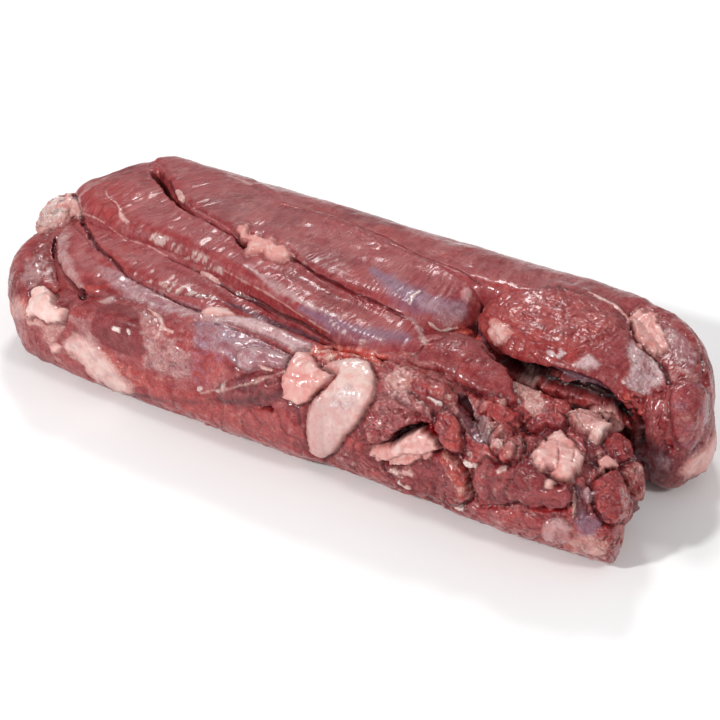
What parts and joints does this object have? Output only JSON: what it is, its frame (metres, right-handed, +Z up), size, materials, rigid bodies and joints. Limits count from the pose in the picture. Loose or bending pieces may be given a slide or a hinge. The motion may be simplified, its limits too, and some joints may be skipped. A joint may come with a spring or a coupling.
{
  "type": "raw lamb tenderloin",
  "caption": "Raw boneless lamb tenderloin: long muscles side by side, pressed into a loaf shape and joined by silverskin and lumps of fat, flat underneath.",
  "frame": {"origin": "under the middle of the cut, on the surface that it lies on", "axes": "+X along the muscles towards the thick heads, +Y across them to the back, +Z up"},
  "size_m": [0.304, 0.1226, 0.0563],
  "materials": {
    "muscle": "moist raw red meat, satin with small bright glints"
  },
  "bodies": {
    "root": {"tenderloin": "muscle"}
  },
  "joints": []
}
